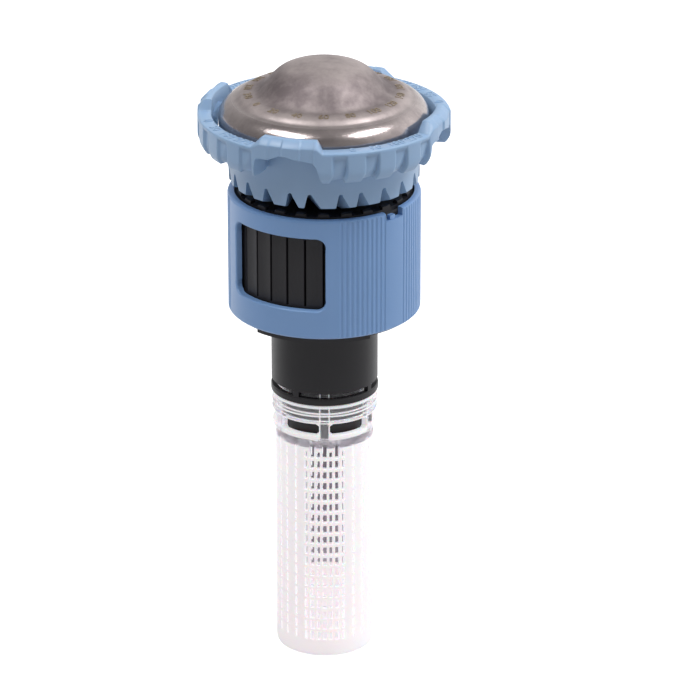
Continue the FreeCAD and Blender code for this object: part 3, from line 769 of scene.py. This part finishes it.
for quarter in range(4):
    for step, words in enumerate(RING_MARKS):
        raised_mark(f"ring_mark_{quarter}_{step}", words, RING_MARK_R,
                    quarter * QUARTER + RING_MARK_START + step * RING_MARK_PITCH, RING_MARK_SIZE,
                    ring_top, RING_BLUE)
for step in range(CAP_MARKS):
    raised_mark(f"cap_mark_{step}", str(step * CAP_MARK_PITCH), CAP_MARK_R,
                step * CAP_MARK_PITCH + CAP_MARK_START, CAP_MARK_SIZE, cap_height, MARK_STEEL)


# ---- camera, floor and light -----------------------------------------------------------------
TILT = 22.27               # degrees above level
LENS = 243.5               # millimetres
SENSOR = 36
CAMERA_PLACE = (0.00319, -0.5500, 0.2190)
FLOOR_HALF = 3.0
FLOOR_DROP = 0.0002        # below the lowest point
# World brightness in front and behind, and shares of it overhead, at the left and at the right.
FRONT_LIGHT = 0.30
BACK_LIGHT = 0.9
ZENITH_SHARE = 0.5
LEFT_SHARE = 0.42
RIGHT_SHARE = 1.2
# Floor brightness as seen straight or through clear plastic, and as a light in front and behind.
FLOOR_GLOW = 0.9
FLOOR_BOUNCE = 0.05
FLOOR_BEHIND = 0.75
AIM = Vector((0, 0, 0.022))
LIGHT_DISTANCE = 600.0     # millimetres
# Name, degrees from the front, degrees up, width and height in metres, watts.
LIGHT_BOXES = (("left box", -60, 58, (0.32, 0.17), 1.6), ("right box", 74, 56, (0.28, 0.16), 1.8))


def camera():
    data = bpy.data.cameras.new("camera")
    data.sensor_width = SENSOR
    data.lens = LENS
    data.clip_start = 0.01
    data.clip_end = 20
    item = bpy.data.objects.new("camera", data)
    item.location = CAMERA_PLACE
    item.rotation_euler = (math.radians(90 - TILT), 0, 0)
    bpy.context.scene.collection.objects.link(item)
    bpy.context.scene.camera = item


def area_light(name, place, size, power):
    """Rectangular light turned towards the object."""
    data = bpy.data.lights.new(name, "AREA")
    data.shape = "RECTANGLE"
    data.size, data.size_y = size
    data.energy = power
    item = bpy.data.objects.new(name, data)
    item.location = place
    item.rotation_euler = (AIM - place).to_track_quat("-Z", "Y").to_euler()
    bpy.context.scene.collection.objects.link(item)


def floor():
    """White sheet that is bright to look at, but lights the object only from behind."""
    half = FLOOR_HALF
    z = cad_box[0].z - FLOOR_DROP
    points = [(-half, -half, z), (half, -half, z), (half, half, z), (-half, half, z)]
    piece = new_piece("floor", points, [(0, 1, 2, 3)])
    paper = bpy.data.materials.new("white paper")
    paper.use_nodes = True
    face = paper.node_tree.nodes["Principled BSDF"]
    face.inputs["Base Color"].default_value = (0.55, 0.55, 0.56, 1)
    face.inputs["Roughness"].default_value = 0.9
    face.inputs["Emission Color"].default_value = (1, 1, 1, 1)
    work = Tree(paper.node_tree)
    path = work.add("ShaderNodeLightPath").outputs
    seen = work.add("ShaderNodeMath", {0: path["Is Camera Ray"], 1: path["Is Transmission Ray"]},
                    operation="MAXIMUM")
    place = work.add("ShaderNodeTexCoord").outputs["Object"]
    parts = work.add("ShaderNodeSeparateXYZ", {"Vector": place})
    behind = work.add("ShaderNodeMapRange", {
        "Value": parts.outputs["Y"], "From Min": -0.02, "From Max": 0.12, "To Min": FLOOR_BOUNCE,
        "To Max": FLOOR_BEHIND}, interpolation_type="SMOOTHSTEP")
    glow = work.add("ShaderNodeMix", {"Factor": seen.outputs[0], "A": behind.outputs[0],
                                      "B": FLOOR_GLOW})
    paper.node_tree.links.new(glow.outputs[0], face.inputs["Emission Strength"])
    piece.data.materials.append(paper)


def studio():
    """Pale surround, brightest behind and at the right, with a soft box high at each side."""
    world = bpy.data.worlds.new("studio")
    world.use_nodes = True
    work = Tree(world.node_tree)
    place = work.add("ShaderNodeTexCoord").outputs["Generated"]
    parts = work.add("ShaderNodeSeparateXYZ", {"Vector": place})
    behind = work.add("ShaderNodeMapRange", {
        "Value": parts.outputs["Y"], "From Min": -0.85, "From Max": 0.25, "To Min": FRONT_LIGHT,
        "To Max": BACK_LIGHT}, interpolation_type="SMOOTHSTEP")
    above = work.add("ShaderNodeMapRange", {
        "Value": parts.outputs["Z"], "From Min": 0.45, "From Max": 0.95, "To Min": 1.0,
        "To Max": ZENITH_SHARE}, interpolation_type="SMOOTHSTEP")
    beside = work.add("ShaderNodeMapRange", {
        "Value": parts.outputs["X"], "From Min": -0.9, "From Max": 0.7, "To Min": LEFT_SHARE,
        "To Max": RIGHT_SHARE}, interpolation_type="SMOOTHSTEP")
    walls = work.add("ShaderNodeMath", {0: behind.outputs[0], 1: beside.outputs[0]},
                     operation="MULTIPLY")
    strength = work.add("ShaderNodeMath", {0: walls.outputs[0], 1: above.outputs[0]},
                        operation="MULTIPLY")
    back = world.node_tree.nodes["Background"]
    back.inputs["Color"].default_value = (1.0, 1.0, 1.0, 1)
    world.node_tree.links.new(strength.outputs[0], back.inputs["Strength"])
    bpy.context.scene.world = world
    bpy.context.scene.view_settings.view_transform = "Standard"
    for name, azimuth, height, size, power in LIGHT_BOXES:
        away = at(LIGHT_DISTANCE * math.cos(math.radians(height)), azimuth,
                  LIGHT_DISTANCE * math.sin(math.radians(height)))
        area_light(name, AIM + away, size, power)


camera()
floor()
studio()
